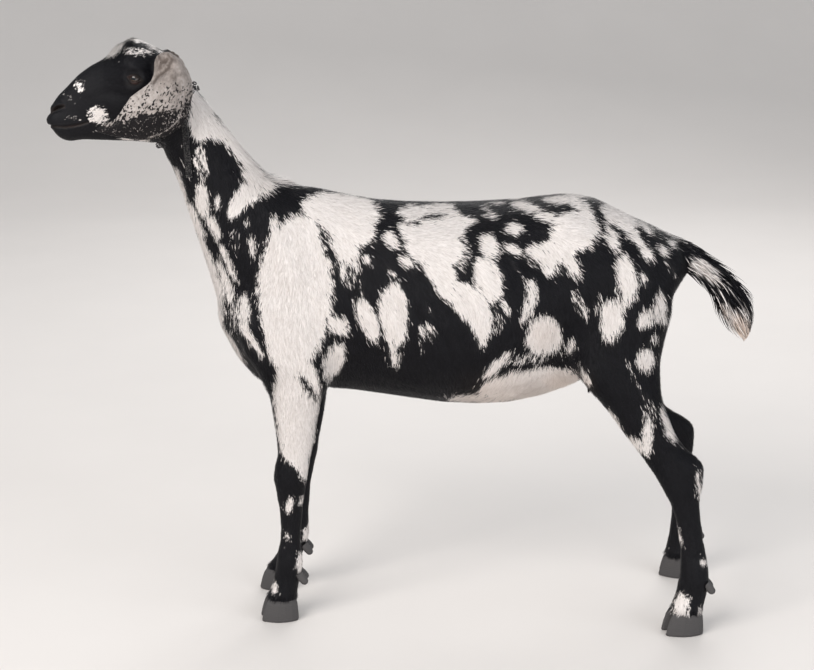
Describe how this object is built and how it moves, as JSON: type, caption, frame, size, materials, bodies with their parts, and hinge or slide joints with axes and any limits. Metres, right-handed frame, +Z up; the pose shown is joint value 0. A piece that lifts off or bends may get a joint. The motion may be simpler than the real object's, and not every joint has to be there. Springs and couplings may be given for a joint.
{
  "type": "goat",
  "caption": "Young mini Nubian doe goat standing square with head up, hanging ears, spotted short coat and a fine chain collar; still, life size.",
  "frame": {"origin": "centre of the footprint on the floor, below the middle of the length", "axes": "+X towards the tail with the head at -X, +Y to the doe's right side, +Z up"},
  "size_m": [1.0293, 0.2716, 0.8624],
  "materials": {
    "short_coat": "short glossy black hair with white patches",
    "ear_coat": "fine short hair, grey-white with black freckles",
    "hoof_horn": "dull dark grey horn",
    "eye": "wet and glossy, dark brown",
    "bare_skin": "bare skin with fine down",
    "blackened_chain": "blackened steel"
  },
  "bodies": {
    "root": {"claw_fore_left_inner": "hoof_horn", "claw_fore_left_outer": "hoof_horn", "claw_fore_right_inner": "hoof_horn", "claw_fore_right_outer": "hoof_horn", "claw_hind_left_inner": "hoof_horn", "claw_hind_left_outer": "hoof_horn", "claw_hind_right_inner": "hoof_horn", "claw_hind_right_outer": "hoof_horn", "collar_chain": "blackened_chain", "collar_ring": "blackened_chain", "collar_spare_chain": "blackened_chain", "dewclaw_fore_left_inner": "hoof_horn", "dewclaw_fore_left_outer": "hoof_horn", "dewclaw_fore_right_inner": "hoof_horn", "dewclaw_fore_right_outer": "hoof_horn", "dewclaw_hind_left_inner": "hoof_horn", "dewclaw_hind_left_outer": "hoof_horn", "dewclaw_hind_right_inner": "hoof_horn", "dewclaw_hind_right_outer": "hoof_horn", "ear_left": "ear_coat", "ear_right": "ear_coat", "eye_left": "eye", "eye_right": "eye", "fore_cannon_left": "short_coat", "fore_cannon_right": "short_coat", "forearm_left": "short_coat", "forearm_right": "short_coat", "head": "short_coat", "hind_cannon_left": "short_coat", "hind_cannon_right": "short_coat", "neck": "short_coat", "shank_left": "short_coat", "shank_right": "short_coat", "shoulder_left": "short_coat", "shoulder_right": "short_coat", "tail": "short_coat", "thigh_left": "short_coat", "thigh_right": "short_coat", "torso": "short_coat", "udder": "bare_skin"}
  },
  "joints": []
}
